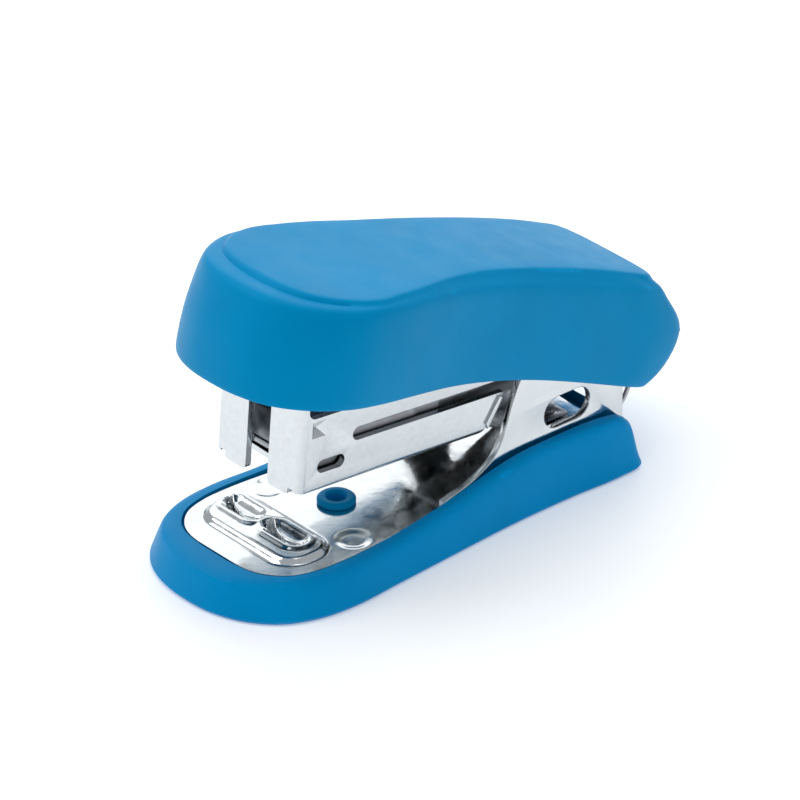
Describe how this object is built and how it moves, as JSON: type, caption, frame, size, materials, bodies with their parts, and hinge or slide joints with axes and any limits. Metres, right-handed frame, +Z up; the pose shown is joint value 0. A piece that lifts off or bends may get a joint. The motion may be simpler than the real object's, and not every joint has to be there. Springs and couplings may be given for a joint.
{
  "type": "mini stapler",
  "caption": "Small desk stapler: a plastic-covered base with a pressed anvil, a spring-lifted staple magazine and a capped handle on one pin.",
  "frame": {"origin": "on the surface the stapler stands on, under the middle of its bounding box", "axes": "+Z up; -Y towards the stapling end, so the length runs along Y; X runs across, along the hinge pin"},
  "size_m": [0.0276, 0.0678, 0.0375],
  "materials": {
    "cap_plastic": "smooth moulded plastic, semi-matt, bright azure blue",
    "base_plastic": "smooth moulded plastic, semi-matt, azure blue",
    "plated_steel": "bright nickel plating on pressed sheet steel",
    "bare_steel": "zinc-plated sheet steel, satin",
    "spring_steel": "drawn spring wire and spring strip, satin",
    "dark_steel": "dark grey phosphated sheet steel"
  },
  "bodies": {
    "base": {"base_cover": "base_plastic", "base_plate": "plated_steel", "base_rivet": "base_plastic", "pivot_pin": "bare_steel", "magazine_spring": "spring_steel", "leaf_rivet": "bare_steel"},
    "magazine": {"magazine_shell": "plated_steel", "staple_rail": "bare_steel", "rail_rivet_front": "bare_steel", "rail_rivet_rear": "bare_steel", "guide_rod": "bare_steel", "spring_seat": "bare_steel", "pusher_spring": "spring_steel"},
    "pusher": {"pusher": "dark_steel"},
    "handle": {"cap": "cap_plastic", "handle_frame": "bare_steel", "driver_blade": "bare_steel", "blade_rivet_left": "bare_steel", "blade_rivet_right": "bare_steel", "handle_spring": "spring_steel", "tail_wire": "spring_steel"}
  },
  "joints": [
    {"name": "magazine_hinge", "type": "hinge", "parent": "base", "child": "magazine", "pos_m": [0, 0.02195, 0.0135], "axis": [-1, 0, 0], "range_deg": [-8.5, 0], "stiffness_Nm_per_rad": 0.3, "springref_deg": 11.46, "deforming": ["magazine_spring"]},
    {"name": "pusher_slide", "type": "slide", "parent": "magazine", "child": "pusher", "axis": [0, 0.9966, -0.0828], "range_m": [0, 0.018], "stiffness_N_per_m": 30, "springref_m": -0.02, "deforming": ["pusher_spring"]},
    {"name": "handle_hinge", "type": "hinge", "parent": "magazine", "child": "handle", "pos_m": [0, 0.02195, 0.0135], "axis": [-1, 0, 0], "range_deg": [-11, 24], "stiffness_Nm_per_rad": 0.25, "springref_deg": 0.46, "deforming": ["handle_spring"]}
  ]
}
